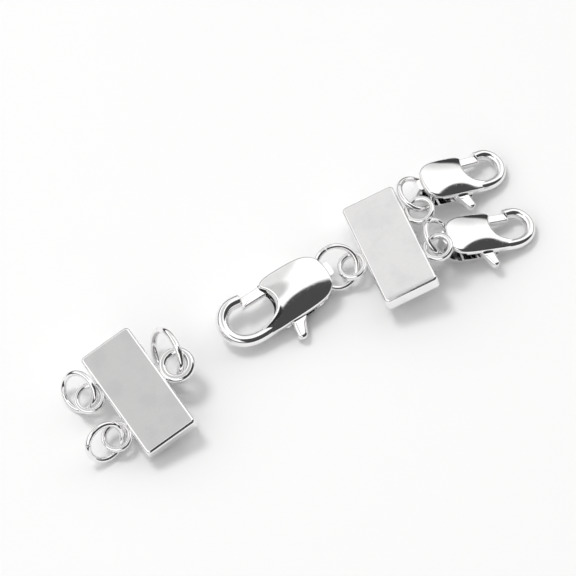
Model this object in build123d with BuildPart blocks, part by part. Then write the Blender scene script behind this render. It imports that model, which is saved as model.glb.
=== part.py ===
from build123d import *
import os

# Multi-strand clasp: a hook half (a bar with one large and two small lobster clasps on jump
# rings) and a ring half (a bar with three jump rings), lying side by side as they rest.
# All lengths in millimetres, all angles in degrees.

# Bars
BAR_LENGTH = 12.6
BAR_WIDTH = 6.0
BAR_THICKNESS = 2.0
BAR_CORNER = 0.5
BAR_EDGE = 0.35

# Eyelets cast on the bars' long sides, as shares of the spacing of the strands
EYELET_SPACING = 5.0
EYELET_HOLE = 0.21 * EYELET_SPACING
EYELET_RIM = 0.12 * EYELET_SPACING
EYELET_THICKNESS = 0.152 * EYELET_SPACING
EYELET_ROUND = 0.056 * EYELET_SPACING
EYELET_REACH = 0.28 * EYELET_SPACING
CATCH_HOLE = 1.00
CATCH_RIM = 0.90
CATCH_THICKNESS = 1.10
CATCH_ROUND = 0.40
CATCH_REACH = 1.75
NECK_INSET = 0.40

# Jump rings; those of the strands lie side by side, so they follow the spacing
RING_WIRE = 0.124 * EYELET_SPACING
SMALL_RING = 0.90 * EYELET_SPACING
STRAND_RING = 0.92 * EYELET_SPACING
LARGE_RING = 5.00
CATCH_RING = 6.00
CATCH_RING_WIRE = 0.72
SEAM_ANGLE = 1.5

# Lobster clasps, drawn for the spacing below: the small one follows the spacing, and the large
# one is the same casting scaled up
CLASP_SPACING = 4.72
SMALL_SCALE = EYELET_SPACING / CLASP_SPACING
LARGE_SCALE = 1.24 * SMALL_SCALE
SHELL_START = 0.42
DOME_HALF_WIDTH = 2.30
BODY_DEPTH = 4.0
CAVITY_HALF = 0.50
PASSAGE_HALF = 0.72
PASSAGE_END = 2.00
PASSAGE_WIDTH = 7.0
POST_DEPTH = 0.62
POST_WIDTH = 1.10
POST_CORNER = 0.20
POST_INSET = 0.12
PASSAGE_MIDDLE = (POST_DEPTH + PASSAGE_END) / 2
WALL_INNER = 1.92
RIM_ROUND = 0.21
HOOK_HALF_WIDTH = 0.52
HOOK_HALF_HEIGHT = 0.66
TIP_X = 7.42

# Pivot of the lever, and the step in the hook's tip, which is turned about the pivot
PIVOT_X = 3.40
PIVOT_Y = 0.15
NOTCH_REACH = 4.42
NOTCH_Y = 1.90
NOTCH_WIDTH = 2.0

# Lever inside the clasp body
LEVER_GAP = 0.075
LEVER_HALF = CAVITY_HALF - LEVER_GAP
ARM_GAP = 0.06
ARM_REACH = NOTCH_REACH - ARM_GAP
ARM_HEIGHT = 0.84
ARM_TOP = NOTCH_Y - ARM_GAP
ARM_MIDDLE = ARM_TOP - ARM_HEIGHT / 2
ARM_START = 4.30
BOSS_RADIUS = 0.95
THUMB_ROOT = 0.66
THUMB_ROOT_X = 3.75
THUMB_ROOT_Y = -0.40
THUMB_KNEE_X = 4.35
THUMB_KNEE_Y = -1.85
THUMB_TIP = 0.44
THUMB_TIP_X = 4.82
THUMB_TIP_Y = -3.15

# Pivot pin
PIN_RADIUS = 0.34
PIN_FIT = 0.015
PIVOT_CLEARANCE = 0.03
PIN_HEAD = 1.36
PIN_REACH = 0.95
PIN_BORE_GAP = 0.03


# Outline of the clasp body as drawn, seen on its face: the curve along the gate side, the one
# along the thumb side, and the one round the mouth, which runs out along the shank of the hook
GATE_SIDE = [
    (0.62, 1.20),
    (1.05, 1.66),
    (1.70, 1.98),
    (2.60, 2.14),
    (3.80, 2.22),
    (5.00, 2.20),
    (5.52, 2.02),
    (5.74, 1.68),
]
THUMB_SIDE = [
    (0.62, -1.20),
    (1.05, -1.62),
    (1.70, -1.90),
    (2.60, -2.03),
    (3.80, -2.07),
    (5.20, -2.06),
    (6.60, -1.98),
    (7.70, -1.82),
]
MOUTH = [
    GATE_SIDE[-1],
    (5.46, 1.25),
    (5.26, 0.70),
    (5.26, 0.10),
    (5.55, -0.46),
    (6.26, -0.88),
    (7.10, -1.10),
    (7.70, -1.24),
]
# Half heights of the body: distance from the eye, at the middle, at the rim
DOME = [
    (0.0, 1.10, 0.92),
    (1.6, 1.32, 0.94),
    (3.4, 1.42, 0.80),
    (5.2, 1.24, 0.62),
    (6.6, 0.88, 0.42),
    (7.8, 0.58, 0.26),
]
# Middle line of the hook, from inside the body round to the tip
HOOK_LINE = [
    (5.0, -1.50),
    (6.6, -1.52),
    (8.2, -1.44),
    (9.33, -0.85),
    (9.80, 0.25),
    (9.42, 1.33),
    (8.50, 1.87),
    (TIP_X, 1.80),
]
# Room for the lever between the shells, open at the mouth and on the thumb side
CAVITY = [
    (1.60, -3.20),
    (5.60, -3.20),
    (5.60, -1.50),
    (6.10, -0.75),
    (6.90, 0.60),
    (6.20, WALL_INNER),
    (2.10, WALL_INNER),
    (1.60, 1.40),
    (1.60, -3.20),
]


def scaled(points, scale):
    """Points of a table at a clasp's size."""
    return [(x * scale, y * scale) for x, y in points]


def bar_casting(eyelets):
    """A rounded bar with washer-shaped eyelets cast on its long sides.

    Each eyelet is (side, along, hole, rim, thickness, rounding, reach): side is -1 or 1.
    """
    with BuildPart() as casting:
        with BuildSketch(Plane.XY.offset(-BAR_THICKNESS / 2)):
            RectangleRounded(BAR_WIDTH, BAR_LENGTH, BAR_CORNER)
        extrude(amount=BAR_THICKNESS)
        top_edges = casting.faces().sort_by(Axis.Z)[-1].edges()
        bottom_edges = casting.faces().sort_by(Axis.Z)[0].edges()
        fillet(top_edges + bottom_edges, BAR_EDGE)
        for side, along, hole, rim, thickness, rounding, reach in eyelets:
            centre_x = side * (BAR_WIDTH / 2 + reach)
            with BuildSketch(Plane((centre_x, along, 0), x_dir=(1, 0, 0), z_dir=(0, -1, 0))):
                with Locations((hole + rim / 2, 0)):
                    RectangleRounded(rim, thickness, rounding)
            revolve(axis=Axis((centre_x, along, 0), (0, 0, 1)))
            neck_outer = reach - hole - rim * 0.3
            neck_middle = side * (BAR_WIDTH / 2 + (neck_outer - NECK_INSET) / 2)
            with BuildSketch(Plane.XY.offset(-thickness * 0.4)):
                with Locations((neck_middle, along)):
                    Rectangle(neck_outer + NECK_INSET, hole * 1.6)
            extrude(amount=thickness * 0.8)
    return casting.part


def jump_ring(outer, wire):
    """A round-wire ring about Z with a butt seam at +X."""
    with BuildPart() as ring:
        with BuildSketch(Plane.XZ):
            with Locations((outer / 2 - wire / 2, 0)):
                Circle(wire / 2)
        revolve(axis=Axis.Z, revolution_arc=360 - SEAM_ANGLE)
    return ring.part


def clasp_body(scale, pin_side):
    """A lobster clasp body lying flat, eye end at the origin, hook towards +X, gate side +Y.

    The bore for the pin opens on one shell only: pin_side is -1 for -Z and 1 for +Z.
    """
    s = scale
    half_width = DOME_HALF_WIDTH * s
    depth = BODY_DEPTH * s
    with BuildPart() as body:
        for x, crest, rim in DOME:
            with BuildSketch(Plane.YZ.offset(x * s)):
                with BuildLine():
                    ThreePointArc((-half_width, rim * s), (0, crest * s), (half_width, rim * s))
                    Line((half_width, rim * s), (half_width, -rim * s))
                    ThreePointArc((half_width, -rim * s), (0, -crest * s), (-half_width, -rim * s))
                    Line((-half_width, -rim * s), (-half_width, rim * s))
                make_face()
        loft()
        with BuildSketch(Plane.XY.offset(-depth / 2)):
            with BuildLine():
                gate = Spline(scaled(GATE_SIDE, s))
                mouth = Spline(scaled(MOUTH, s))
                thumb = Spline(scaled(reversed(THUMB_SIDE), s))
                Line(mouth @ 1, thumb @ 0)
                ThreePointArc(thumb @ 1, (SHELL_START * s, 0), gate @ 0)
            make_face()
        extrude(amount=depth, mode=Mode.INTERSECT)
        front_edges = body.faces().sort_by(Axis.Z)[-1].outer_wire().edges()
        back_edges = body.faces().sort_by(Axis.Z)[0].outer_wire().edges()
        fillet(front_edges + back_edges, RIM_ROUND * s)
        # the hook: an oval wire carried round the opening
        with BuildLine() as path:
            Spline(scaled(HOOK_LINE, s), tangents=[(1, 0), (-1, -0.12)])
        with BuildSketch(Plane(path.line @ 0, x_dir=(0, 1, 0), z_dir=path.line % 0)):
            Ellipse(HOOK_HALF_WIDTH * s, HOOK_HALF_HEIGHT * s)
        sweep()
        # step at the tip, where the arm of the lever comes to rest
        with BuildSketch(Plane.XY.offset(-depth / 2)):
            with Locations((PIVOT_X * s, PIVOT_Y * s)):
                Circle(NOTCH_REACH * s)
            with Locations(((PIVOT_X + NOTCH_REACH) * s, (NOTCH_Y - NOTCH_WIDTH / 2) * s)):
                Rectangle(NOTCH_WIDTH * s, NOTCH_WIDTH * s, mode=Mode.INTERSECT)
        extrude(amount=depth, mode=Mode.SUBTRACT)
        # room for the lever between the two shells
        with BuildSketch(Plane.XY.offset(-CAVITY_HALF * s)):
            with BuildLine():
                Polyline(scaled(CAVITY, s))
            make_face()
        extrude(amount=2 * CAVITY_HALF * s, mode=Mode.SUBTRACT)
        # way through for the jump ring, from side to side behind the end post
        with BuildSketch(Plane.XY.offset(-PASSAGE_HALF * s)):
            with Locations((PASSAGE_END / 2 * s, 0)):
                Rectangle(PASSAGE_END * s, PASSAGE_WIDTH * s)
        extrude(amount=2 * PASSAGE_HALF * s, mode=Mode.SUBTRACT)
        with BuildSketch(Plane.XY.offset(-(PASSAGE_HALF + POST_INSET) * s)):
            with Locations((POST_DEPTH / 2 * s, 0)):
                RectangleRounded(POST_DEPTH * s, POST_WIDTH * s, POST_CORNER * s)
        extrude(amount=2 * (PASSAGE_HALF + POST_INSET) * s)
        # bore for the pin, through one shell and blind in the other
        with BuildSketch(Plane.XY.offset(pin_side * depth / 2)):
            with Locations((PIVOT_X * s, PIVOT_Y * s)):
                Circle((PIN_RADIUS + PIN_FIT) * s)
        extrude(amount=-pin_side * (depth / 2 + (PIN_REACH + PIN_BORE_GAP) * s), mode=Mode.SUBTRACT)
    return body.part


def clasp_lever(scale):
    """Gate arm and thumb tab in one piece, in the clasp body's frame, closed."""
    s = scale
    with BuildPart() as lever:
        with BuildSketch(Plane.XY.offset(-LEVER_HALF * s)):
            with Locations((PIVOT_X * s, PIVOT_Y * s)):
                Circle(BOSS_RADIUS * s)
            with Locations((ARM_START * s, ARM_MIDDLE * s)):
                Circle(ARM_HEIGHT / 2 * s)
            make_hull()
        extrude(amount=2 * LEVER_HALF * s)
        with BuildSketch(Plane.XY.offset(-LEVER_HALF * s)):
            with Locations((THUMB_ROOT_X * s, THUMB_ROOT_Y * s)):
                Circle(THUMB_ROOT * s)
            with Locations((THUMB_KNEE_X * s, THUMB_KNEE_Y * s)):
                Circle(THUMB_ROOT * s)
            make_hull()
        extrude(amount=2 * LEVER_HALF * s)
        with BuildSketch(Plane.XY.offset(-LEVER_HALF * s)):
            with Locations((THUMB_KNEE_X * s, THUMB_KNEE_Y * s)):
                Circle(THUMB_ROOT * s)
            with Locations((THUMB_TIP_X * s, THUMB_TIP_Y * s)):
                Circle(THUMB_TIP * s)
            make_hull()
        extrude(amount=2 * LEVER_HALF * s)
        # the arm, its end turned about the pivot so that it clears the step in the tip
        arm_end = PIVOT_X + ARM_REACH
        with BuildSketch(Plane.XY.offset(-LEVER_HALF * s)):
            with Locations((PIVOT_X * s, PIVOT_Y * s)):
                Circle(ARM_REACH * s)
            with Locations(((ARM_START + arm_end) / 2 * s, ARM_MIDDLE * s)):
                Rectangle((arm_end - ARM_START) * s, ARM_HEIGHT * s, mode=Mode.INTERSECT)
        extrude(amount=2 * LEVER_HALF * s)
        with BuildSketch(Plane.XY.offset(-BODY_DEPTH / 2 * s)):
            with Locations((PIVOT_X * s, PIVOT_Y * s)):
                Circle((PIN_RADIUS + PIVOT_CLEARANCE / s) * s)
        extrude(amount=BODY_DEPTH * s, mode=Mode.SUBTRACT)
    return lever.part


def clasp_pin(scale, pin_side):
    """The pin that the lever turns on, flush in the shell that its bore opens on."""
    s = scale
    with BuildPart() as pin:
        with BuildSketch(Plane.XY.offset(pin_side * PIN_HEAD * s)):
            with Locations((PIVOT_X * s, PIVOT_Y * s)):
                Circle(PIN_RADIUS * s)
        extrude(amount=-pin_side * (PIN_HEAD + PIN_REACH) * s)
    return pin.part


def place(origin, turn, lean, tip):
    """Location turned about Z, then about its own Y, then about its own X."""
    turned = Location(origin) * Location((0, 0, 0), (0, 0, turn))
    return turned * Location((0, 0, 0), (0, lean, 0)) * Location((0, 0, 0), (tip, 0, 0))


def ring_frame(facing):
    """Plane through the origin whose Z looks along a direction, its X level with the floor."""
    across = Vector(0, 1, 0).cross(Vector(*facing)).normalized()
    return Plane(origin=(0, 0, 0), x_dir=across, z_dir=facing)


def on_ring(spec, angle):
    """Point on the middle of a ring's wire, from the ring's centre, at an angle round it."""
    radius = (spec["outer"] - spec["wire"]) / 2
    return ring_frame(spec["facing"]).from_local_coords(Vector(radius, 0, 0).rotate(Axis.Z, angle))


def ring_centre(spec):
    """Centre of a ring whose wire passes through its eyelet at the given angle."""
    across, along, above = [share * EYELET_HOLE for share in spec["held_at"]]
    side = spec["side"]
    eyelet = (side * (BAR_WIDTH / 2 + spec["reach"]) + across, spec["along"] + along, above)
    held = place(*BAR_PLACES[spec["bar"]]) * Location(eyelet)
    return held.position - on_ring(spec, spec["held_angle"])


def ring_place(spec):
    """Location of a ring, its seam turned to the given angle."""
    frame = ring_frame(spec["facing"]).location
    seam = Location((0, 0, 0), (0, 0, spec["seam_angle"]))
    return Location(ring_centre(spec)) * frame * seam


def clasp_place(spec):
    """Location of a clasp whose eye hangs on its ring at the given angle."""
    ring = RINGS[spec["ring"]]
    s = spec["scale"]
    held = ring_centre(ring) + on_ring(ring, spec["held_angle"])
    turned = place((0, 0, 0), spec["turn"], spec["lean"], spec["tip"])
    ahead, aside, above = [share * PASSAGE_HALF * s for share in spec["held_at"]]
    passage = turned * Location((PASSAGE_MIDDLE * s + ahead, aside, above))
    return place(held - passage.position, spec["turn"], spec["lean"], spec["tip"])


HALF_SPACING = EYELET_SPACING / 2
# the two bars: centre, turn, lean, tip
BAR_PLACES = {
    "hook_bar": ((10.639, 3.114, 3.131), 22.36, -13.5, -5.0),
    "ring_bar": ((-15.138, -13.539, 2.926), 33.8, -12.0, 5.0),
}
# jump rings: the eyelet that holds each, its own sizes, how the wire passes through the hole
# (from the hole's centre, in shares of a small eyelet's hole radius), the way the ring faces, and
# where round it the hole and the seam are
RINGS = {
    "large_jump_ring": dict(
        bar="hook_bar",
        side=-1,
        along=0,
        reach=EYELET_REACH,
        outer=LARGE_RING,
        wire=RING_WIRE,
        held_at=(0.4431, -0.1702, -0.0813),
        facing=(0.108, -0.573, 0.813),
        held_angle=7.7,
        seam_angle=125,
    ),
    "upper_jump_ring": dict(
        bar="hook_bar",
        side=1,
        along=HALF_SPACING,
        reach=EYELET_REACH,
        outer=SMALL_RING,
        wire=RING_WIRE,
        held_at=(-0.0072, 0.1756, -0.0566),
        facing=(0.452, 0.156, 0.878),
        held_angle=275.5,
        seam_angle=165,
    ),
    "lower_jump_ring": dict(
        bar="hook_bar",
        side=1,
        along=-HALF_SPACING,
        reach=EYELET_REACH,
        outer=SMALL_RING,
        wire=RING_WIRE,
        held_at=(-0.3289, -0.3512, 0.0221),
        facing=(0.713, 0.039, 0.700),
        held_angle=256.7,
        seam_angle=150,
    ),
    "far_strand_ring": dict(
        bar="ring_bar",
        side=-1,
        along=HALF_SPACING,
        reach=EYELET_REACH,
        outer=STRAND_RING,
        wire=RING_WIRE,
        held_at=(0.2381, -0.4476, 0.0190),
        facing=(-0.551, -0.600, 0.580),
        held_angle=313.6,
        seam_angle=165,
    ),
    "near_strand_ring": dict(
        bar="ring_bar",
        side=-1,
        along=-HALF_SPACING,
        reach=EYELET_REACH,
        outer=STRAND_RING,
        wire=RING_WIRE,
        held_at=(0.4476, -0.2571, -0.0952),
        facing=(0.537, -0.688, 0.488),
        held_angle=38.6,
        seam_angle=210,
    ),
    "catch_ring": dict(
        bar="ring_bar",
        side=1,
        along=0,
        reach=CATCH_REACH,
        outer=CATCH_RING,
        wire=CATCH_RING_WIRE,
        held_at=(0.2667, -0.3619, 0.0667),
        facing=(-0.832, -0.467, 0.300),
        held_angle=306.0,
        seam_angle=70,
    ),
}
# clasps: size, side that the pin is put in from, the ring and the place round it that holds the
# eye, how far the wire lies from the middle of the eye (in shares of the eye's half height), and
# the way the clasp lies
CLASPS = {
    "large_clasp": dict(
        scale=LARGE_SCALE,
        pin_side=1,
        ring="large_jump_ring",
        held_angle=211.9,
        held_at=(-0.3621, 0.0584, 0.1986),
        turn=-144.3,
        lean=0.0,
        tip=166.3,
    ),
    "upper_clasp": dict(
        scale=SMALL_SCALE,
        pin_side=-1,
        ring="upper_jump_ring",
        held_angle=41.5,
        held_at=(0.0118, 0.0234, -0.2964),
        turn=24.6,
        lean=14.7,
        tip=4.2,
    ),
    "lower_clasp": dict(
        scale=SMALL_SCALE,
        pin_side=-1,
        ring="lower_jump_ring",
        held_angle=6.3,
        held_at=(-0.1686, 0.0433, -0.2276),
        turn=18.4,
        lean=12.7,
        tip=3.0,
    ),
}
small = (EYELET_HOLE, EYELET_RIM, EYELET_THICKNESS, EYELET_ROUND, EYELET_REACH)
catch = (CATCH_HOLE, CATCH_RIM, CATCH_THICKNESS, CATCH_ROUND, CATCH_REACH)

if __name__ == "__main__":
    nodes = {}
    hook_casting = bar_casting([(-1, 0, *small), (1, HALF_SPACING, *small), (1, -HALF_SPACING, *small)])
    ring_casting = bar_casting([(-1, HALF_SPACING, *small), (-1, -HALF_SPACING, *small), (1, 0, *catch)])
    nodes["hook_bar"] = hook_casting.moved(place(*BAR_PLACES["hook_bar"]))
    nodes["ring_bar"] = ring_casting.moved(place(*BAR_PLACES["ring_bar"]))
    for name, spec in RINGS.items():
        nodes[name] = jump_ring(spec["outer"], spec["wire"]).moved(ring_place(spec))
    for name, spec in CLASPS.items():
        at = clasp_place(spec)
        scale = spec["scale"]
        pin_side = spec["pin_side"]
        nodes[name + "_body"] = clasp_body(scale, pin_side).moved(at)
        nodes[name + "_lever"] = clasp_lever(scale).moved(at)
        nodes[name + "_rivet"] = clasp_pin(scale, pin_side).moved(at)

    # the origin goes under the middle of everything, on the floor
    boxes = [node.bounding_box() for node in nodes.values()]
    low = [min(getattr(box.min, axis) for box in boxes) for axis in "XYZ"]
    high = [max(getattr(box.max, axis) for box in boxes) for axis in "XYZ"]
    shift = Location((-(low[0] + high[0]) / 2, -(low[1] + high[1]) / 2, -low[2]))
    print("shift", shift.position)
    os.makedirs("parts", exist_ok=True)
    for name, node in nodes.items():
        placed = node.moved(shift)
        placed.label = name
        print(name, round(placed.volume, 3), len(placed.solids()), placed.is_valid)
        export_step(placed, f"parts/{name}.step")
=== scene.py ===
import logging
import math
from dataclasses import dataclass, field
from enum import Enum
from typing import Callable, Optional, Sequence

import bpy
import numpy as np
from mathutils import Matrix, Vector


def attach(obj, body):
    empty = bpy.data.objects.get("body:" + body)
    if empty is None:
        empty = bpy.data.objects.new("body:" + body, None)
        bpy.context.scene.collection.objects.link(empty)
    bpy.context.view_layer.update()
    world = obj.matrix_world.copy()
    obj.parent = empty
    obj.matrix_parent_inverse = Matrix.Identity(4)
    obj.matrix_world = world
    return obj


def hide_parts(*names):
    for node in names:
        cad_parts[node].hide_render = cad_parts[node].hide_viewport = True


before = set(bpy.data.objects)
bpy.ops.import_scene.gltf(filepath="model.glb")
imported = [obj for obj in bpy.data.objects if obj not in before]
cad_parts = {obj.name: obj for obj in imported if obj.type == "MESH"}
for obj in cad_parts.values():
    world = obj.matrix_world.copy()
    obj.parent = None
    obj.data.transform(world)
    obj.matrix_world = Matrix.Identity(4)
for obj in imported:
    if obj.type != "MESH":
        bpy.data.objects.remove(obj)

# Multi-strand clasp in polished metal: a hook half (bar, three jump rings, one large and two
# small lobster clasps) and a ring half (bar, three jump rings), lying on a pale studio floor.
# Sizes below are in millimetres, as drawn; meshes are written in metres.

LOG = logging.getLogger("clasp")
MM = 0.001
# where the drawing's origin lies in the row frame
DRAWING_SHIFT = (-1.36211, 2.35485, -0.00626)
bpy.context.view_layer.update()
# the small eyelets' distance sets the small clasps' size, and theirs the large clasp's
EYELET_SPACING = 5.0
CLASP_SPACING = 4.72
SMALL_SCALE = EYELET_SPACING / CLASP_SPACING
LARGE_SCALE = 1.24 * SMALL_SCALE
# middle of the ring's way through the eye of a clasp, from the eye's end
PASSAGE_MIDDLE = 1.31

# outline of the clasp body as drawn: the gate side, the thumb side, and the mouth, which runs out
# along the shank of the hook
GATE_SIDE = [(0.62, 1.20), (1.05, 1.66), (1.70, 1.98), (2.60, 2.14), (3.80, 2.22), (5.00, 2.20), (5.52, 2.02),
             (5.74, 1.68)]
THUMB_SIDE = [(0.62, -1.20), (1.05, -1.62), (1.70, -1.90), (2.60, -2.03), (3.80, -2.07), (5.20, -2.06),
              (6.60, -1.98), (7.70, -1.82)]
MOUTH = [(5.74, 1.68), (5.46, 1.25), (5.26, 0.70), (5.26, 0.10), (5.55, -0.46), (6.26, -0.88), (7.10, -1.10),
         (7.70, -1.24)]
# half heights of the body: distance from the eye, at the middle, at the rim
DOME = [(0.0, 1.10, 0.92), (1.6, 1.32, 0.94), (3.4, 1.42, 0.80), (5.2, 1.24, 0.62), (6.6, 0.88, 0.42),
        (7.8, 0.58, 0.26)]
# middle line of the hook, from inside the body round to the tip
HOOK_LINE = [(5.0, -1.50), (6.6, -1.52), (8.2, -1.44), (9.33, -0.85), (9.80, 0.25), (9.42, 1.33),
             (8.50, 1.87), (7.42, 1.80)]
# line that a shell's loops shrink onto, from the eye to the shank
DOME_MIDDLE = [(0.95, 0.0), (1.7, 0.0), (3.0, 0.0), (4.2, -0.25), (5.2, -1.0), (6.2, -1.45), (7.45, -1.53)]
# how far along that line each loop point looks: number of the point, share of the line
DOME_SHARES = [(0, 0.0), (25, 0.10), (90, 0.42), (180, 0.99), (189, 1.0)]


class Turn(Enum):
    """The axis that a plain turn goes about."""

    X = 0
    Y = 1
    Z = 2

    def matrix(self, degrees: float) -> np.ndarray:
        """Rotation matrix of a right-hand turn about this axis by an angle in degrees."""
        c, s = math.cos(math.radians(degrees)), math.sin(math.radians(degrees))
        a, b = (self.value + 1) % 3, (self.value + 2) % 3
        m = np.eye(3)
        m[a, a], m[a, b], m[b, a], m[b, b] = c, -s, s, c
        return m


@dataclass(frozen=True)
class Lie:
    """How a piece lies: its origin in drawing millimetres and the turn that carries it there."""

    origin: np.ndarray
    turn: np.ndarray

    @classmethod
    def turned(cls, origin: Sequence[float], turn: float, lean: float, tip: float) -> "Lie":
        """A lie turned about Z, then about its own Y, then about its own X, in degrees."""
        m = Turn.Z.matrix(turn) @ Turn.Y.matrix(lean) @ Turn.X.matrix(tip)
        return cls(np.array(origin, float), m)

    @classmethod
    def facing(cls, origin: Sequence[float], normal: Sequence[float]) -> "Lie":
        """A lie whose Z looks along a direction and whose X stays level with the floor."""
        z = np.array(normal, float) / np.linalg.norm(normal)
        x = np.cross((0.0, 1.0, 0.0), z)
        x /= np.linalg.norm(x)
        return cls(np.array(origin, float), np.stack([x, np.cross(z, x), z], axis=1))

    def apply(self, points: np.ndarray) -> np.ndarray:
        """Points of the piece, in drawing millimetres."""
        return points @ self.turn.T + self.origin


@dataclass
class Shell:
    """A closed surface: points in millimetres, with four- and three-sided faces."""

    points: np.ndarray
    quads: np.ndarray
    tris: np.ndarray

    def volume(self) -> float:
        """Signed volume: the sum of the tetrahedra from the origin to each triangle."""
        t = np.vstack([self.quads[:, [0, 1, 2]], self.quads[:, [0, 2, 3]], self.tris])
        a, b, c = (self.points[t[:, k]] for k in range(3))
        return float(np.einsum("ij,ij->i", a, np.cross(b, c)).sum() / 6.0)

    def outward(self) -> "Shell":
        """The same shell with its faces pointing out."""
        if self.volume() >= 0.0:
            return self
        return Shell(self.points, self.quads[:, ::-1], self.tris[:, ::-1])

    def mapped(self, lie: Lie) -> "Shell":
        """The shell as it lies in the drawing."""
        return Shell(lie.apply(self.points), self.quads, self.tris)


def carried(rings: np.ndarray, closed: bool = False, shut: bool = True, outward: bool = True) -> Shell:
    """A surface made of loops: loops joined one to the next, ends shut by a fan.

    Args:
        rings: loops x points x 3; each loop closes on itself.
        closed: whether the last loop joins the first.
        shut: whether the ends of an open run get a fan.
        outward: whether faces are turned to point out.

    Returns:
        The shell.
    """
    m, n = rings.shape[:2]
    rows = np.arange(m if closed else m - 1)[:, None]
    cols = np.arange(n)[None, :]
    here, right = rows * n + cols, rows * n + (cols + 1) % n
    up, up_right = ((rows + 1) % m) * n + cols, ((rows + 1) % m) * n + (cols + 1) % n
    quads = np.stack([here, right, up_right, up], axis=-1).reshape(-1, 4)
    points = rings.reshape(-1, 3)
    tris = np.zeros((0, 3), int)
    if shut and not closed:
        ends = np.stack([rings[0].mean(axis=0), rings[-1].mean(axis=0)])
        points = np.vstack([points, ends])
        k = np.arange(n)
        nxt = (k + 1) % n
        first = np.stack([np.full(n, m * n), nxt, k], axis=1)
        last = np.stack([np.full(n, m * n + 1), (m - 1) * n + k, (m - 1) * n + nxt], axis=1)
        tris = np.vstack([first, last])
    shell = Shell(points, quads, tris)
    return shell.outward() if outward else shell


def smooth_curve(points: Sequence[Sequence[float]], count: int, start: Optional[Sequence[float]] = None,
                 end: Optional[Sequence[float]] = None) -> np.ndarray:
    """A cubic curve through points, evenly sampled.

    The curve is a cubic between each pair of points, with slope and curvature the same on both
    sides of each point, spaced by chord length. An end with no given direction is left straight.

    Args:
        points: the points to go through.
        count: how many samples to give.
        start: direction at the first point, or None.
        end: direction at the last point, or None.

    Returns:
        count x 2 or count x 3 samples, even in length.
    """
    p = np.array(points, float)
    h = np.linalg.norm(np.diff(p, axis=0), axis=1)
    t = np.concatenate([[0.0], np.cumsum(h)])
    n = len(p)
    a = np.zeros((n, n))
    b = np.zeros_like(p)
    inner = np.arange(1, n - 1)
    a[inner, inner - 1], a[inner, inner], a[inner, inner + 1] = h[1:], 2 * (h[:-1] + h[1:]), h[:-1]
    chord = np.diff(p, axis=0) / h[:, None]
    b[1:-1] = 3 * (h[1:, None] * chord[:-1] + h[:-1, None] * chord[1:])
    a[0, 0], a[0, 1], b[0] = 2.0, 1.0, 3 * chord[0]
    a[-1, -1], a[-1, -2], b[-1] = 2.0, 1.0, 3 * chord[-1]
    if start is not None:
        a[0, 1], a[0, 0], b[0] = 0.0, 1.0, np.array(start, float) / np.linalg.norm(start)
    if end is not None:
        a[-1, -2], a[-1, -1], b[-1] = 0.0, 1.0, np.array(end, float) / np.linalg.norm(end)
    slope = np.linalg.solve(a, b)
    u = np.linspace(0.0, t[-1], 40 * n)
    k = np.clip(np.searchsorted(t, u, side="right") - 1, 0, n - 2)
    s = ((u - t[k]) / h[k])[:, None]
    hk = h[k][:, None]
    dense = (
        (1 + 2 * s) * (1 - s) ** 2 * p[k]
        + s * (1 - s) ** 2 * hk * slope[k]
        + s * s * (3 - 2 * s) * p[k + 1]
        + s * s * (s - 1) * hk * slope[k + 1]
    )
    return even(dense, count)


def even(line: np.ndarray, count: int) -> np.ndarray:
    """A line sampled again at even lengths from its first point to its last."""
    run = np.concatenate([[0.0], np.cumsum(np.linalg.norm(np.diff(line, axis=0), axis=1))])
    at = np.linspace(0.0, run[-1], count)
    return np.stack([np.interp(at, run, line[:, k]) for k in range(line.shape[1])], axis=1)


def rounded_box_loop(width: float, height: float, radius: float, per_corner: int = 10) -> np.ndarray:
    """A rectangle with its corners rounded by quarter circles, as a closed loop of 2-D points."""
    a = np.linspace(0.0, math.pi / 2, per_corner)
    corner = radius * np.stack([np.cos(a), np.sin(a)], axis=1)
    x, y = width / 2 - radius, height / 2 - radius
    loops = [
        corner + (x, y),
        np.stack([-corner[::-1, 0] - x, corner[::-1, 1] + y], axis=1),
        -corner - (x, y),
        np.stack([corner[::-1, 0] + x, -corner[::-1, 1] - y], axis=1),
    ]
    return np.vstack(loops)


def tube(path: np.ndarray, section: np.ndarray, flat: Sequence[float] = (0.0, 0.0, 1.0),
         scale: Optional[np.ndarray] = None) -> Shell:
    """A closed section carried along a path that lies in one plane, its ends shut.

    Each point is the path's point plus the section's first length across the path, in the
    plane, plus its second length along the plane's normal.

    Args:
        path: samples x 3.
        section: points x 2, a closed loop.
        flat: the normal of the path's plane.
        scale: a factor on the section for each sample, samples x 2, or None.

    Returns:
        The closed shell.
    """
    along = np.gradient(path, axis=0)
    along /= np.linalg.norm(along, axis=1)[:, None]
    normal = np.array(flat, float)
    across = np.cross(normal, along)
    size = np.ones((len(path), 2)) if scale is None else scale
    a = size[:, 0, None, None] * section[None, :, 0, None] * across[:, None, :]
    b = size[:, 1, None, None] * section[None, :, 1, None] * normal
    return carried(path[:, None, :] + a + b)


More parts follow.
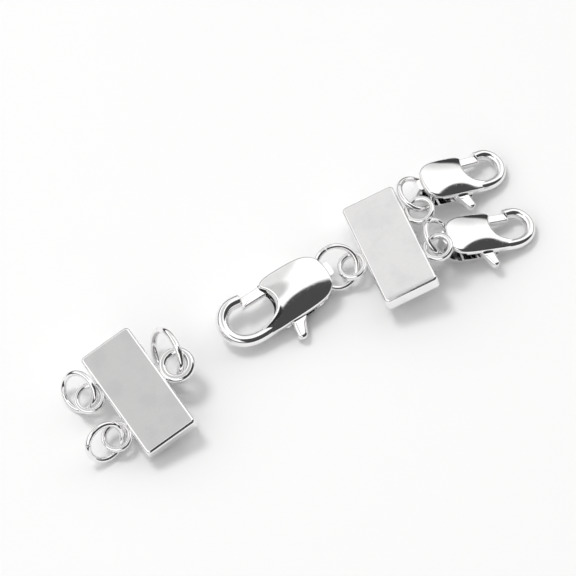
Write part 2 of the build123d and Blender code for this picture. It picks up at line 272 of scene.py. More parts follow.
@dataclass
class Graph:
    """The nodes of one material or of the room light."""

    tree: bpy.types.NodeTree

    def node(self, kind: str, settings: Optional[dict] = None,
             inputs: Optional[dict] = None) -> bpy.types.Node:
        """Adds a node.

        Args:
            kind: the node's type name.
            settings: its own settings, set first; "stops" gives a ramp's (place, grey) pairs.
            inputs: what goes into its sockets: a Field, a socket or a plain value.

        Returns:
            The new node.
        """
        n = self.tree.nodes.new(kind)
        for name, value in (settings or {}).items():
            if name == "stops":
                ramp = n.color_ramp
                while len(ramp.elements) < len(value):
                    ramp.elements.new(0.5)
                for stop, (place, grey) in zip(ramp.elements, value):
                    stop.position = place
                    stop.color = (grey, grey, grey, 1.0)
            else:
                setattr(n, name, value)
        for name, value in (inputs or {}).items():
            socket = n.inputs[name]
            if isinstance(value, Field):
                self.tree.links.new(value.socket, socket)
            elif isinstance(value, bpy.types.NodeSocket):
                self.tree.links.new(value, socket)
            else:
                socket.default_value = value
        return n

    def object_place(self) -> bpy.types.NodeSocket:
        """The point on the piece, in metres."""
        return self.node("ShaderNodeTexCoord").outputs["Object"]

    def noise(self, place: bpy.types.NodeSocket, per_mm: float, detail: float, rough: float = 0.5) -> "Field":
        """Cloudy noise between 0 and 1, with a given number of clouds in a millimetre."""
        settings = {"noise_dimensions": "3D"}
        inputs = {"Vector": place, "Scale": per_mm / MM, "Detail": detail, "Roughness": rough}
        return Field(self, self.node("ShaderNodeTexNoise", settings, inputs).outputs["Fac"])

    def colour_mix(self, amount: "Field", low: Sequence[float], high: Sequence[float]) -> bpy.types.NodeSocket:
        """A colour between two colours."""
        n = self.node("ShaderNodeMix", {"data_type": "RGBA"}, {0: amount, 6: (*low, 1.0), 7: (*high, 1.0)})
        return n.outputs[2]


@dataclass
class Field:
    """A number that varies over a surface; Python arithmetic on it adds Math nodes."""

    graph: Graph
    socket: bpy.types.NodeSocket

    def _math(self, operation: str, first: object, second: object = 0.0, third: object = 0.0) -> "Field":
        """One Math node on up to three numbers or fields."""
        n = self.graph.node("ShaderNodeMath", {"operation": operation}, {0: first, 1: second, 2: third})
        return Field(self.graph, n.outputs[0])

    def __add__(self, other: object) -> "Field":
        """Sum."""
        return self._math("ADD", self, other)

    __radd__ = __add__

    def __sub__(self, other: object) -> "Field":
        """Difference."""
        return self._math("SUBTRACT", self, other)

    def __rsub__(self, other: object) -> "Field":
        """Difference the other way round."""
        return self._math("SUBTRACT", other, self)

    def __mul__(self, other: object) -> "Field":
        """Product."""
        return self._math("MULTIPLY", self, other)

    __rmul__ = __mul__

    def __truediv__(self, other: object) -> "Field":
        """Quotient."""
        return self._math("DIVIDE", self, other)

    def __pow__(self, other: object) -> "Field":
        """Power."""
        return self._math("POWER", self, other)

    def between(self, low: float, high: float) -> "Field":
        """A smooth step from 0 at low to 1 at high."""
        n = self.graph.node(
            "ShaderNodeMapRange",
            {"interpolation_type": "SMOOTHSTEP"},
            {"Value": self, "From Min": low, "From Max": high},
        )
        return Field(self.graph, n.outputs["Result"])


@dataclass(frozen=True)
class PolishedMetal:
    """Bright plated metal: a mirror polish with fine wear, faint clouding and buffing marks."""

    name: str
    light: tuple[float, float, float] = (0.93, 0.925, 0.925)
    dull: tuple[float, float, float] = (0.84, 0.835, 0.84)
    polish: float = 0.05
    worn: float = 0.13
    relief: float = 0.010

    def material(self) -> bpy.types.Material:
        """The finish as a material, made once for each name."""
        found = bpy.data.materials.get(self.name)
        if found:
            return found
        m = bpy.data.materials.new(self.name)
        m.use_nodes = True
        m.node_tree.nodes.clear()
        g = Graph(m.node_tree)
        place = g.object_place()
        cloud = g.noise(place, 0.45, 3.0)
        grain = g.noise(place, 7.0, 4.0, 0.65)
        wear = cloud.between(0.42, 0.72) * 0.6 + grain.between(0.45, 0.8) * 0.4
        stretched = g.node("ShaderNodeMapping", None, {"Vector": place, "Scale": (1.0, 9.0, 1.0)}).outputs[0]
        scratch = g.noise(stretched, 3.0, 5.0, 0.7).between(0.60, 0.66)
        ripple = g.noise(place, 0.35, 1.0) * 6.0 + grain * 0.25 + scratch * 0.2
        bump = g.node(
            "ShaderNodeBump", None, {"Strength": 0.35, "Distance": self.relief * MM, "Height": ripple}
        ).outputs["Normal"]
        shader = g.node(
            "ShaderNodeBsdfPrincipled",
            None,
            {
                "Base Color": g.colour_mix(wear, self.light, self.dull),
                "Metallic": 1.0,
                "Roughness": wear * (self.worn - self.polish) + self.polish + scratch * 0.03,
                "Normal": bump,
            },
        )
        g.node("ShaderNodeOutputMaterial", None, {"Surface": shader.outputs[0]})
        return m


@dataclass(frozen=True)
class PaleFloor:
    """Matt white studio floor."""

    name: str = "pale_floor"
    tone: float = 0.93

    def material(self) -> bpy.types.Material:
        """The floor's finish."""
        m = bpy.data.materials.new(self.name)
        m.use_nodes = True
        m.node_tree.nodes.clear()
        g = Graph(m.node_tree)
        cloud = g.noise(g.object_place(), 0.01, 2.0)
        low = (self.tone - 0.01,) * 3
        high = (self.tone,) * 3
        shader = g.node(
            "ShaderNodeBsdfPrincipled", None, {"Base Color": g.colour_mix(cloud, low, high), "Roughness": 0.9}
        )
        g.node("ShaderNodeOutputMaterial", None, {"Surface": shader.outputs[0]})
        return m


def make_piece(name: str, shells: Sequence[Shell], lie: Lie, finish: PolishedMetal, body: str,
               node: str, crease: float = 32.0) -> bpy.types.Object:
    """Turns shells into one finished piece that stands for a CAD node.

    Args:
        name: the piece's name.
        shells: its closed surfaces, in the piece's own millimetres.
        lie: how it lies in the drawing.
        finish: what it is made of.
        body: the CAD body that it moves with.
        node: the CAD node that it replaces.
        crease: edges sharper than this many degrees stay sharp.

    Returns:
        The Blender object, at the origin, with its place in its mesh.
    """
    base = np.cumsum([0] + [len(s.points) for s in shells[:-1]])
    points = np.vstack([s.mapped(lie).points for s in shells]) + DRAWING_SHIFT
    faces = [f for s, b in zip(shells, base) for f in (s.quads + b).tolist() + (s.tris + b).tolist()]
    mesh = bpy.data.meshes.new(name)
    mesh.from_pydata((points * MM).tolist(), [], faces)
    mesh.validate()
    mesh.shade_smooth()
    mesh.set_sharp_from_angle(angle=math.radians(crease))
    mesh.materials.append(finish.material())
    piece = bpy.data.objects.new(name, mesh)
    bpy.context.scene.collection.objects.link(piece)
    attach(piece, body)
    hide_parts(node)
    triangles = sum(len(f) - 2 for f in faces)
    LOG.info("%s: %d triangles, rides on %s", name, triangles, body)
    return piece


@dataclass
class Eyelet:
    """A washer-shaped eye cast on a bar's long side."""

    side: int
    along: float
    hole: float = 1.05
    rim: float = 0.60
    thickness: float = 0.76
    rounding: float = 0.28
    reach: float = 1.40

    def shells(self, bar_width: float) -> list[Shell]:
        """The eye and its neck.

        The eye is a rounded rectangle carried round a circle: radius = hole + rim / 2 plus the
        section's first length, height = its second. The neck is a rounded box whose section
        grows towards the bar.
        """
        x = self.side * (bar_width / 2 + self.reach)
        section = rounded_box_loop(self.rim, self.thickness, self.rounding)
        a = np.linspace(0.0, 2 * math.pi, 120, endpoint=False)[:, None]
        r = self.hole + self.rim / 2 + section[None, :, 0]
        height = np.broadcast_to(section[None, :, 1], (len(a), len(section)))
        eye = np.stack([x + r * np.cos(a), self.along + r * np.sin(a), height], axis=-1)
        start = self.side * (bar_width / 2 - 0.35)
        stop = x - self.side * (self.hole + self.rim * 0.42)
        run = np.linspace(0.0, 1.0, 14)
        path = np.stack([start + (stop - start) * run, np.full(14, self.along), np.zeros(14)], axis=1)
        neck = rounded_box_loop(self.hole * 1.6, self.thickness * 0.8, 0.25)
        flare = 1.0 + 0.16 * (1 - run) ** 2
        scale = np.stack([flare, np.ones(14)], axis=1)
        return [carried(eye, closed=True), tube(path, neck, scale=scale)]


@dataclass
class BarCasting:
    """A flat rounded bar with eyelets, one casting."""

    name: str
    node: str
    lie: Lie
    eyelets: list[Eyelet]
    length: float = 12.6
    width: float = 6.0
    thickness: float = 2.0
    corner: float = 0.5
    edge: float = 0.35
    crown: float = 0.03

    def slab(self) -> Shell:
        """The bar itself: loops shrink from its outline to its middle.

        At each loop, height is a quarter circle over the rounded edge and then a faint crown,
        highest in the middle: edge height plus crown times (1 - the share left to the middle, squared).
        """
        outline = rounded_box_loop(self.width, self.length, self.corner, 12)
        inner = rounded_box_loop(
            self.width - 2 * self.edge, self.length - 2 * self.edge, max(self.corner - self.edge, 0.12), 12
        )
        a = np.linspace(0.0, math.pi / 2, 10)
        half = self.thickness / 2 - self.crown
        rounding = [
            (outline * (1 - s) + inner * s, half - self.edge * (1 - c))
            for s, c in zip(1 - np.cos(a), np.sin(a))
        ]
        shares = np.linspace(1.0, 0.02, 16)[1:]
        core = [(inner * s, half + self.crown * (1 - s * s)) for s in shares]
        top = [np.column_stack([xy, np.full(len(xy), z)]) for xy, z in rounding + core]
        bottom = [np.column_stack([t[:, :2], -t[:, 2]]) for t in reversed(top)]
        return carried(np.stack(bottom + top))

    def held(self, eyelet: Eyelet, off: Sequence[float]) -> np.ndarray:
        """Where a ring's wire passes through an eyelet, a little off the middle of its hole."""
        x = eyelet.side * (self.width / 2 + eyelet.reach)
        return self.lie.apply(np.array([x, eyelet.along, 0.0]) + off)

    def build(self, finish: PolishedMetal) -> bpy.types.Object:
        """The casting as one piece."""
        shells = [self.slab()] + [s for e in self.eyelets for s in e.shells(self.width)]
        return make_piece(self.name, shells, self.lie, finish, "frame", self.node)


@dataclass
class JumpRing:
    """A round-wire ring, cut through once, that hangs in an eyelet of a bar."""

    name: str
    node: str
    outer: float
    wire: float
    facing: tuple[float, float, float]
    held_angle: float
    seam_angle: float
    held: np.ndarray = field(default_factory=lambda: np.zeros(3))
    seam_gap: float = 1.5

    @property
    def radius(self) -> float:
        """Radius of the middle of the wire."""
        return (self.outer - self.wire) / 2

    def around(self, angle: float) -> np.ndarray:
        """Point on the middle of the wire, from the ring's centre, at an angle in degrees."""
        a = math.radians(angle)
        out = np.array([math.cos(a), math.sin(a), 0.0])
        return Lie.facing((0, 0, 0), self.facing).turn @ (self.radius * out)

    @property
    def centre(self) -> np.ndarray:
        """Centre of the ring, in drawing millimetres."""
        return self.held - self.around(self.held_angle)

    def wire_shell(self) -> Shell:
        """A circle carried round a circle, from one side of the seam to the other.

        Each cut end is eased by a small rounding: the circle shrinks as a quarter circle's
        cosine over the last hundredths of a millimetre.
        """
        around, across = 150, 28
        ease = 0.05
        gap = math.radians(self.seam_gap) / 2
        step = ease / self.radius
        a = np.linspace(0.0, math.pi / 2, 5)
        lead = gap + step * (1 - np.sin(a[::-1]))
        size = 1 - ease / (self.wire / 2) * (1 - np.cos(a[::-1]))
        middle = np.linspace(gap + step, 2 * math.pi - gap - step, around)[1:-1]
        turn = np.concatenate([lead, middle, 2 * math.pi - lead[::-1]])
        scale = np.concatenate([size, np.ones(len(middle)), size[::-1]])
        b = np.linspace(0.0, 2 * math.pi, across, endpoint=False)
        r = self.radius + self.wire / 2 * scale[:, None] * np.cos(b)
        z = self.wire / 2 * scale[:, None] * np.sin(b)
        rings = np.stack([r * np.cos(turn)[:, None], r * np.sin(turn)[:, None], z], axis=-1)
        return carried(rings)

    def build(self, finish: PolishedMetal) -> bpy.types.Object:
        """The ring as one piece."""
        base = Lie.facing(self.centre, self.facing)
        lie = Lie(base.origin, base.turn @ Turn.Z.matrix(self.seam_angle))
        return make_piece(self.name, [self.wire_shell()], lie, finish, "frame", self.node)


@dataclass
class Plate:
    """A plate drawn by its two sides, which share their first and last point, and a middle line.

    Loops run along the two sides and shrink onto the middle line: a loop at share u lies at
    (1 - u) times the outline plus u times the middle line. Over the first bit the outline is
    moved inward along its normals by radius * (1 - cos a) while the height falls short of the
    face by radius * (1 - sin a), which rounds the rim.
    """

    left: np.ndarray
    right: np.ndarray
    middle: np.ndarray
    top: Callable[[np.ndarray, np.ndarray], np.ndarray]
    bottom: Callable[[np.ndarray, np.ndarray], np.ndarray]
    top_round: float = 0.0
    bottom_round: float = 0.0
    steps: int = 14

    def face(self, loop: np.ndarray, inward: np.ndarray, line: np.ndarray, height: Callable, radius: float,
             up: float) -> list[np.ndarray]:
        """Loops of one face, from the rim to just short of the middle line."""
        out = []
        angles = np.linspace(0.0, math.pi / 2, 8) if radius > 0.0 else [math.pi / 2]
        for a in angles:
            xy = loop + inward * radius * (1 - math.cos(a))
            z = height(xy[:, 0], xy[:, 1]) - up * radius * (1 - math.sin(a))
            out.append(np.column_stack([xy, z]))
        start = loop + inward * radius
        for u in np.linspace(0.0, 1.0, self.steps + 1)[1:-1]:
            xy = start * (1 - u) + line * u
            out.append(np.column_stack([xy, height(xy[:, 0], xy[:, 1])]))
        return out

    def shell(self) -> Shell:
        """The plate as a closed surface."""
        k = len(self.middle) - 1
        loop = np.vstack([self.left, self.right[-2:0:-1]])
        line = np.vstack([self.middle, self.middle[-2:0:-1]])
        along = np.roll(loop, -1, axis=0) - np.roll(loop, 1, axis=0)
        along /= np.maximum(np.linalg.norm(along, axis=1), 1e-9)[:, None]
        inward = np.column_stack([-along[:, 1], along[:, 0]])
        area = np.sum(loop[:, 0] * np.roll(loop[:, 1], -1) - loop[:, 1] * np.roll(loop[:, 0], -1))
        inward *= math.copysign(1.0, area)
        above = self.face(loop, inward, line, self.top, self.top_round, 1.0)
        below = self.face(loop, inward, line, self.bottom, self.bottom_round, -1.0)
        rings = np.stack(above[::-1] + below)
        m, n = rings.shape[:2]
        body = carried(rings, shut=False, outward=False)
        along_x, along_y = self.middle.T
        caps = [np.column_stack([self.middle, f(along_x, along_y)]) for f in (self.top, self.bottom)]
        base = m * n
        j = np.arange(k)
        quads = [body.quads]
        for ring, start, flip in ((0, base, False), (m - 1, base + k + 1, True)):
            near = ring * n + j
            far = ring * n + j + 1
            near_back = ring * n + (n - j) % n
            far_back = ring * n + n - j - 1
            left = np.stack([far, near, start + j, start + j + 1], axis=1)
            right = np.stack([near_back, far_back, start + j + 1, start + j], axis=1)
            both = np.vstack([left, right])
            quads.append(both[:, ::-1] if flip else both)
        points = np.vstack([body.points] + caps)
        return Shell(points, np.vstack(quads), np.zeros((0, 3), int)).outward()


def level(height: float) -> Callable[[np.ndarray, np.ndarray], np.ndarray]:
    """A flat face at one height."""
    return lambda x, y: np.full(len(x), height)


def softened(line: np.ndarray, passes: int) -> np.ndarray:
    """A line whose corners are eased by averaging each point with its neighbours a few times."""
    out = line.copy()
    for _ in range(passes):
        out[1:-1] = out[1:-1] * 0.5 + (out[:-2] + out[2:]) * 0.25
    return out


def peg(start: Sequence[float], start_radius: float, stop: Sequence[float], stop_radius: float, half: float,
        rounding: float) -> Shell:
    """A flat link between two circles of different size, with rounded rims.

    Each side is a quarter circle round the start, the straight tangent, and a quarter circle
    round the stop; the middle line joins the two centres.
    """
    a, b = np.array(start, float), np.array(stop, float)
    length = float(np.linalg.norm(b - a))
    ahead = (b - a) / length
    across = np.array([-ahead[1], ahead[0]])
    lean = math.asin((stop_radius - start_radius) / length)
    first = np.linspace(math.pi, math.pi / 2 + lean, 14)
    last = np.linspace(math.pi / 2 + lean, 0.0, 14)
    sides = []
    for sign in (1.0, -1.0):
        arc_a = a + start_radius * (np.cos(first)[:, None] * ahead + sign * np.sin(first)[:, None] * across)
        arc_b = b + stop_radius * (np.cos(last)[:, None] * ahead + sign * np.sin(last)[:, None] * across)
        run = even(np.stack([arc_a[-1], arc_b[0]]), 22)[1:-1]
        sides.append(np.vstack([arc_a, run, arc_b]))
    count = len(sides[0])
    reach = np.linspace(-start_radius * 0.35, length + stop_radius * 0.35, count)
    middle = a + reach[:, None] * ahead
    return Plate(sides[0], sides[1], middle, level(half), level(-half), rounding, rounding, 6).shell()


@dataclass
class LobsterClasp:
    """A lobster clasp: two domed shells and a hook in one casting, a sprung lever and its pin.

    The tables are drawn at the small clasp's size and multiplied by scale. The eye end is at
    the origin, the hook towards +X and the gate side towards +Y.
    """

    name: str
    lie: Lie
    scale: float
    pin_side: int
    cavity: float = 0.50
    wall_inner: float = 1.92
    passage: float = 0.72
    passage_end: float = 2.0
    rim: float = 0.20
    dome_half_width: float = 2.30
    hook_half_width: float = 0.52
    hook_half_height: float = 0.66
    pivot: tuple[float, float] = (3.40, 0.15)
    notch_reach: float = 4.42
    notch_top: float = 1.90
    lever_gap: float = 0.075
    arm_gap: float = 0.06
    arm_height: float = 0.84

    def height(self, x: np.ndarray, y: np.ndarray) -> np.ndarray:
        """Height of the dome: crest - (R - sqrt(R^2 - y^2)), with crest and rim smooth along the clasp.

        R makes the arc that rises from the rim height at the half width to the crest.
        """
        xs = np.linspace(0.0, 7.8, 400)
        crest_line = smooth_curve([(r[0], r[1]) for r in DOME], 400)
        rim_line = smooth_curve([(r[0], r[2]) for r in DOME], 400)
        crest = np.interp(x, xs, np.interp(xs, crest_line[:, 0], crest_line[:, 1]))
        rim = np.interp(x, xs, np.interp(xs, rim_line[:, 0], rim_line[:, 1]))
        rise = crest - rim
        radius = (self.dome_half_width**2 + rise**2) / (2 * rise)
        return crest - (radius - np.sqrt(np.maximum(radius**2 - y**2, 0.0)))

    def floor(self, x: np.ndarray, y: np.ndarray) -> np.ndarray:
        """Underside of a shell: the lever's room, a higher way through for the ring near the eye.

        Past the end of the lever's room, where the two shells become one, it lies in the middle.
        """
        near_eye = np.clip((self.passage_end - x) / 0.10 + 0.5, 0.0, 1.0)
        room_end = 5.60 + np.maximum(y + 1.50, 0.0) * 0.667
        solid = np.clip((x - room_end) / 0.10 + 0.5, 0.0, 1.0)
        hollow = self.cavity + (self.passage - self.cavity) * near_eye
        return hollow * (1 - solid) - 0.02 * solid

    def dome(self, up: float) -> Shell:
        """One domed shell, front for up = 1 and back for up = -1, with its half of the shank."""
        count = 190
        gate = smooth_curve(GATE_SIDE, 90)
        mouth = smooth_curve(MOUTH, 120)
        thumb = smooth_curve(THUMB_SIDE, 140)
        turn = np.linspace(0.0, 1.0, 20)
        eye = np.column_stack([0.42 + 0.20 * turn**2, 1.20 * turn])
        tip = (7.70, (MOUTH[-1][1] + THUMB_SIDE[-1][1]) / 2)
        shank = np.array([MOUTH[-1], tip]), np.array([THUMB_SIDE[-1], tip])
        left = [even(eye, 26)[:-1], even(gate, 66)[:-1], even(mouth, 91)[:-1], even(shank[0], count - 180)]
        right = [even(eye * (1, -1), 26)[:-1], even(thumb, 156)[:-1], even(shank[1], count - 180)]
        sides = [softened(np.vstack(part), 4) for part in (left, right)]
        line = smooth_curve(DOME_MIDDLE, 400)
        share = np.interp(np.arange(count), *zip(*DOME_SHARES))
        pick = share * (len(line) - 1)
        middle = np.column_stack([np.interp(pick, np.arange(len(line)), line[:, k]) for k in range(2)])
        plate = Plate(sides[0], sides[1], softened(middle, 6), self.height, self.floor, self.rim, 0.0, 22)
        shell = plate.shell()
        shell.points[:, 2] *= up
        return shell.outward()

    def hook(self) -> Shell:
        """The hook: an oval carried round its middle line, its tip rounded and stepped.

        Where x is short of the step, points below the step's edge are lifted onto it: the edge
        is the lower of the step's top and the circle that the arm's end sweeps round the pivot.
        """
        path = smooth_curve(HOOK_LINE, 150, (1.0, 0.0), (-1.0, -0.12))
        near_tip = even(path[-34:], 70)
        path = np.vstack([path[:-34], near_tip])
        a = np.linspace(0.0, 2 * math.pi, 40, endpoint=False)
        section = np.column_stack([self.hook_half_width * np.cos(a), self.hook_half_height * np.sin(a)])
        ease = 0.13
        run = np.linalg.norm(path[-1] - path, axis=1)
        run[: len(path) // 2] = 9.0
        end = np.sqrt(np.clip(1 - (np.clip(ease - run, 0.0, ease) / ease) ** 2, 0.0, 1.0))
        shrink = 1 - 0.20 * (1 - end)
        line = np.column_stack([path, np.zeros(len(path))])
        shell = tube(line, section, scale=np.column_stack([shrink, shrink]))
        x, y = shell.points[:, 0], shell.points[:, 1]
        out = x - self.pivot[0]
        arc = self.pivot[1] + np.sqrt(np.maximum(self.notch_reach**2 - out**2, 0.0))
        edge = np.minimum(self.notch_top, arc)
        at_tip = (x < self.pivot[0] + self.notch_reach) & (y > 0.6)
        shell.points[:, 1] = np.where(at_tip, np.maximum(y, edge), y)
        return shell

    def gate_wall(self) -> Shell:
        """The wall that joins the two shells along the gate side."""
        gate = smooth_curve(GATE_SIDE, 200)
        gate = gate[(gate[:, 0] > self.passage_end + 0.02) & (gate[:, 1] > self.wall_inner + 0.015)]
        start, stop = (self.passage_end, 1.99), (5.63, self.wall_inner + 0.01)
        outer = np.vstack([[start], even(gate, 50), [stop]])
        face = np.array([(self.passage_end, self.wall_inner), (5.58, self.wall_inner)])
        inner = np.vstack([[start], even(face, 50), [stop]])
        middle = even(np.array([(2.10, 1.98), (3.5, 2.06), (5.48, 1.95)]), 52)
        edge = self.cavity + 0.02
        return Plate(outer, inner, middle, level(edge), level(-edge), 0.0, 0.0, 4).shell()

    def post(self) -> Shell:
        """The upright post at the eye end that the jump ring hangs behind."""
        section = rounded_box_loop(0.62, 1.10, 0.20, 8)
        z = np.linspace(-self.passage - 0.12, self.passage + 0.12, 8)
        section[:, 0] += 0.31
        rings = np.stack([np.column_stack([section, np.full(len(section), h)]) for h in z])
        return carried(rings)

    def boss(self, half: float) -> Shell:
        """The lever's round middle: a rounded rectangle carried round the pin."""
        inner, outer = 0.37 + 0.01, 0.95
        section = rounded_box_loop(outer - inner, 2 * half, 0.06, 5)
        a = np.linspace(0.0, 2 * math.pi, 48, endpoint=False)[:, None]
        r = (inner + outer) / 2 + section[None, :, 0]
        height = np.broadcast_to(section[None, :, 1], (len(a), len(section)))
        points = np.stack([self.pivot[0] + r * np.cos(a), self.pivot[1] + r * np.sin(a), height], axis=-1)
        return carried(points, closed=True)

    def arm(self, half: float) -> Shell:
        """The gate arm, its end round about the pivot."""
        reach = self.notch_reach - self.arm_gap
        top = self.notch_top - self.arm_gap
        low = top - self.arm_height
        mid = (top + low) / 2

        def end(y: float) -> tuple[float, float]:
            """Point of the round end at a height."""
            return self.pivot[0] + math.sqrt(reach**2 - (y - self.pivot[1]) ** 2), y

        quarter = np.linspace(0.0, math.pi / 2, 10)
        radius = self.arm_height / 2
        cap = np.column_stack([4.30 - radius * np.cos(quarter), radius * np.sin(quarter)])
        sides = []
        for sign, edge in ((1.0, top), (-1.0, low)):
            ys = np.linspace(edge, mid, 12)
            tip = np.array([end(float(v)) for v in ys])
            run = even(np.array([(4.30, edge), tip[0]]), 40)[1:-1]
            sides.append(np.vstack([cap * (1, sign) + (0, mid), run, tip]))
        middle = even(np.array([(4.15, mid), (end(mid)[0] - 0.25, mid)]), len(sides[0]))
        return Plate(sides[0], sides[1], middle, level(half), level(-half), 0.11, 0.11, 8).shell()

    def lever(self) -> list[Shell]:
        """Boss, arm and thumb tab of the lever."""
        half = self.cavity - self.lever_gap
        return [
            self.boss(half - 0.006),
            peg((3.85, 0.80), 0.58, (4.30, 1.42), 0.42, half - 0.004, 0.06),
            self.arm(half),
            peg((3.80, -0.55), 0.62, (4.35, -1.85), 0.655, half - 0.004, 0.06),
            peg((4.35, -1.85), 0.66, (4.82, -3.15), 0.44, half, 0.30),
        ]

    def rivet(self) -> Shell:
        """The pin: a turned profile with its end hammered to a low dome."""
        head = 1.39
        a = np.linspace(0.0, math.pi / 2, 6)
        rows = [(0.30, -0.95), (0.34, -0.91), (0.34, head - 0.06)]
        rows += [(0.34 - 0.06 * (1 - math.cos(v)), head - 0.06 + 0.05 * math.sin(v)) for v in a[1:]]
        rows += [(0.16, head)]
        b = np.linspace(0.0, 2 * math.pi, 40, endpoint=False)
        rings = np.stack([
            np.column_stack([self.pivot[0] + r * np.cos(b), self.pivot[1] + r * np.sin(b), np.full(40, z)])
            for r, z in rows
        ])
        shell = carried(rings)
        shell.points[:, 2] *= self.pin_side
        return shell.outward()

    def sized(self, shells: Sequence[Shell]) -> list[Shell]:
        """Shells at this clasp's size."""
        return [Shell(s.points * self.scale, s.quads, s.tris) for s in shells]

    def build(self, finish: PolishedMetal) -> None:
        """The body, the lever and the pin, each a piece of its own."""
        body = [self.dome(1.0), self.dome(-1.0), self.gate_wall(), self.hook(), self.post()]
        for part, shells, rides in (
            ("body", body, "frame"),
            ("lever", self.lever(), f"{self.name}_lever"),
            ("rivet", [self.rivet()], "frame"),
        ):
            node = f"{self.name}_{part}"
            make_piece(f"{node}_metal", self.sized(shells), self.lie, finish, rides, node)


@dataclass(frozen=True)
class Panel:
    """A round patch of the room that is darker than the tent: its direction, edge and light."""

    towards: tuple[float, float, float]
    inner: float
    outer: float
    light: float


@dataclass(frozen=True)
class Studio:
    """Floor, light and camera."""

    elevation: float = 62.0
    distance: float = 333.0
    lens: float = 199.8
    sensor: float = 36.0
    tent: float = 1.22
    horizon: float = 0.20
    horizon_light: float = 0.05
    horizon_blend: float = 0.12
    key_place: tuple[float, float, float] = (-0.26, 0.16, 0.7)
    key_size: float = 0.22
    key_power: float = 1.9
    panels: tuple[Panel, ...] = (
        Panel((0.0, 1.0, 0.10), 5.0, 48.0, 0.70),
        Panel((-0.43, 0.455, 0.78), 14.0, 26.0, 0.84),
        Panel((-0.235, 0.11, 0.964), 13.0, 22.0, 0.64),
        Panel((0.72, -0.45, 0.53), 38.0, 43.0, 0.07),
        Panel((0.0, -0.469, 0.883), 8.0, 11.0, 0.03),
    )

    def floor(self) -> bpy.types.Object:
        """A wide flat floor at height zero."""
        side = np.linspace(-1.5, 1.5, 2)
        points = [(x, y, 0.0) for x in side for y in side]
        mesh = bpy.data.meshes.new("floor")
        mesh.from_pydata(points, [], [(0, 2, 3, 1)])
        mesh.materials.append(PaleFloor().material())
        floor = bpy.data.objects.new("floor", mesh)
        bpy.context.scene.collection.objects.link(floor)
        return floor

    def camera(self) -> bpy.types.Object:
        """The camera, at the photograph's angle, aimed at the drawing's origin."""
        data = bpy.data.cameras.new("camera")
        data.lens = self.lens
        data.sensor_width = self.sensor
        data.clip_start = 0.01
        cam = bpy.data.objects.new("camera", data)
        e = math.radians(self.elevation)
        target = Vector(DRAWING_SHIFT) * MM
        away = Vector((0.0, -math.cos(e), math.sin(e)))
        cam.location = target + away * self.distance * MM
        cam.rotation_euler = away.to_track_quat("Z", "Y").to_euler()
        bpy.context.scene.collection.objects.link(cam)
        bpy.context.scene.camera = cam
        return cam

    def lamp(self, name: str, place: Sequence[float], size: float, power: float) -> bpy.types.Object:
        """A round soft lamp aimed at the middle of the floor, itself unseen in the metal."""
        data = bpy.data.lights.new(name, "AREA")
        data.shape = "DISK"
        data.size = size
        data.energy = power
        lamp = bpy.data.objects.new(name, data)
        lamp.location = place
        lamp.visible_glossy = False
        lamp.rotation_euler = Vector(place).to_track_quat("Z", "Y").to_euler()
        bpy.context.scene.collection.objects.link(lamp)
        return lamp

    def room(self) -> None:
        """The room's light: a white tent, darker near the horizon, with round panels of less light.

        The share of a panel is a smooth step on the cosine between the direction and its middle.
        """
        world = bpy.data.worlds.new("tent")
        bpy.context.scene.world = world
        world.use_nodes = True
        world.node_tree.nodes.clear()
        g = Graph(world.node_tree)
        way = g.node("ShaderNodeTexCoord").outputs["Generated"]
        light: object = self.tent
        for panel in self.panels:
            unit = Vector(panel.towards).normalized()
            n = g.node("ShaderNodeVectorMath", {"operation": "DOT_PRODUCT"}, {0: way, 1: tuple(unit)})
            edge = [math.cos(math.radians(v)) for v in (panel.outer, panel.inner)]
            share = Field(g, n.outputs["Value"]).between(*edge)
            light = (1.0 - share) * light + share * panel.light
        height = g.node("ShaderNodeSeparateXYZ", None, {0: way}).outputs["Z"]
        rim = Field(g, height).between(self.horizon + self.horizon_blend, self.horizon)
        light = (1.0 - rim) * light + rim * self.horizon_light
        back = g.node("ShaderNodeBackground", None, {"Color": (1.0, 0.995, 0.99, 1.0), "Strength": light})
        g.node("ShaderNodeOutputWorld", None, {"Surface": back.outputs[0]})

    def build(self) -> None:
        """Sets everything up."""
        self.floor()
        self.camera()
        self.room()
        self.lamp("key", self.key_place, self.key_size, self.key_power)
        scene = bpy.context.scene
        scene.view_settings.view_transform = "Standard"


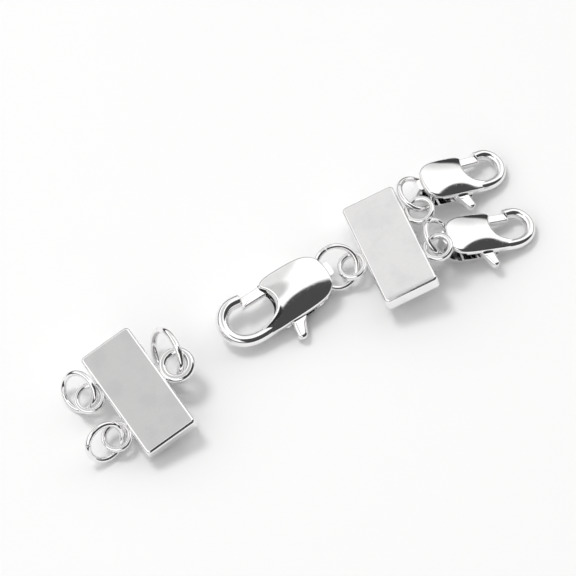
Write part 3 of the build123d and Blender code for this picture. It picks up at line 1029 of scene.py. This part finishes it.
def hook_half(finish: PolishedMetal) -> None:
    """Bar with one eyelet on its left and two on its right, three rings and three clasps."""
    bar_lie = Lie.turned((10.639, 3.114, 3.131), 22.36, -13.5, -5.0)
    eyelets = [Eyelet(-1, 0.0), Eyelet(1, EYELET_SPACING / 2), Eyelet(1, -EYELET_SPACING / 2)]
    bar = BarCasting("hook_bar_metal", "hook_bar", bar_lie, eyelets)
    bar.build(finish)
    rings = {
        key: JumpRing(f"{key}_jump_ring_metal", f"{key}_jump_ring", outer, 0.62, facing, held_angle, seam,
                      bar.held(eyelet, off))
        for key, eyelet, outer, facing, held_angle, seam, off in (
            ("large", eyelets[0], 5.00, (0.108, -0.573, 0.813), 7.7, 125.0, (0.4653, -0.1787, -0.0854)),
            ("upper", eyelets[1], 4.50, (0.452, 0.156, 0.878), 275.5, 165.0, (-0.0076, 0.1844, -0.0594)),
            ("lower", eyelets[2], 4.50, (0.713, 0.039, 0.700), 256.7, 150.0, (-0.3453, -0.3688, 0.0232)),
        )
    }
    for ring in rings.values():
        ring.build(finish)
    for key, scale, side, angle, off, turns in (
        ("large", LARGE_SCALE, 1, 211.9, (-0.3425, 0.0552, 0.1878), (-144.3, 0.0, 166.3)),
        ("upper", SMALL_SCALE, -1, 41.5, (0.0090, 0.0178, -0.2261), (24.6, 14.7, 4.2)),
        ("lower", SMALL_SCALE, -1, 6.3, (-0.1286, 0.0330, -0.1736), (18.4, 12.7, 3.0)),
    ):
        ring = rings[key]
        held = ring.centre + ring.around(angle)
        turn = Lie.turned((0, 0, 0), *turns).turn
        origin = held - turn @ (np.array([PASSAGE_MIDDLE * scale, 0.0, 0.0]) + off)
        LobsterClasp(f"{key}_clasp", Lie(origin, turn), scale, side).build(finish)


def ring_half(finish: PolishedMetal) -> None:
    """Bar with two eyelets on its left and a stouter one on its right, and three rings."""
    bar_lie = Lie.turned((-15.138, -13.539, 2.926), 33.8, -12.0, 5.0)
    stout = Eyelet(1, 0.0, 1.00, 0.90, 1.10, 0.40, 1.75)
    eyelets = [Eyelet(-1, EYELET_SPACING / 2), Eyelet(-1, -EYELET_SPACING / 2), stout]
    bar = BarCasting("ring_bar_metal", "ring_bar", bar_lie, eyelets)
    bar.build(finish)
    JumpRing("far_strand_ring_metal", "far_strand_ring", 4.60, 0.62, (-0.551, -0.600, 0.580), 313.6, 165.0,
             bar.held(eyelets[0], (0.25, -0.47, 0.02))).build(finish)
    JumpRing("near_strand_ring_metal", "near_strand_ring", 4.60, 0.62, (0.537, -0.688, 0.488), 38.6, 210.0,
             bar.held(eyelets[1], (0.47, -0.27, -0.10))).build(finish)
    JumpRing("catch_ring_metal", "catch_ring", 6.00, 0.72, (-0.832, -0.467, 0.300), 306.0, 70.0,
             bar.held(stout, (0.28, -0.38, 0.07))).build(finish)


def main() -> None:
    """Builds the clasp and its studio."""
    logging.basicConfig(level=logging.INFO, format="%(name)s: %(message)s")
    finish = PolishedMetal("bright_plate")
    hook_half(finish)
    ring_half(finish)
    Studio().build()
    LOG.info("all pieces built")


if __name__ == "__main__":
    main()
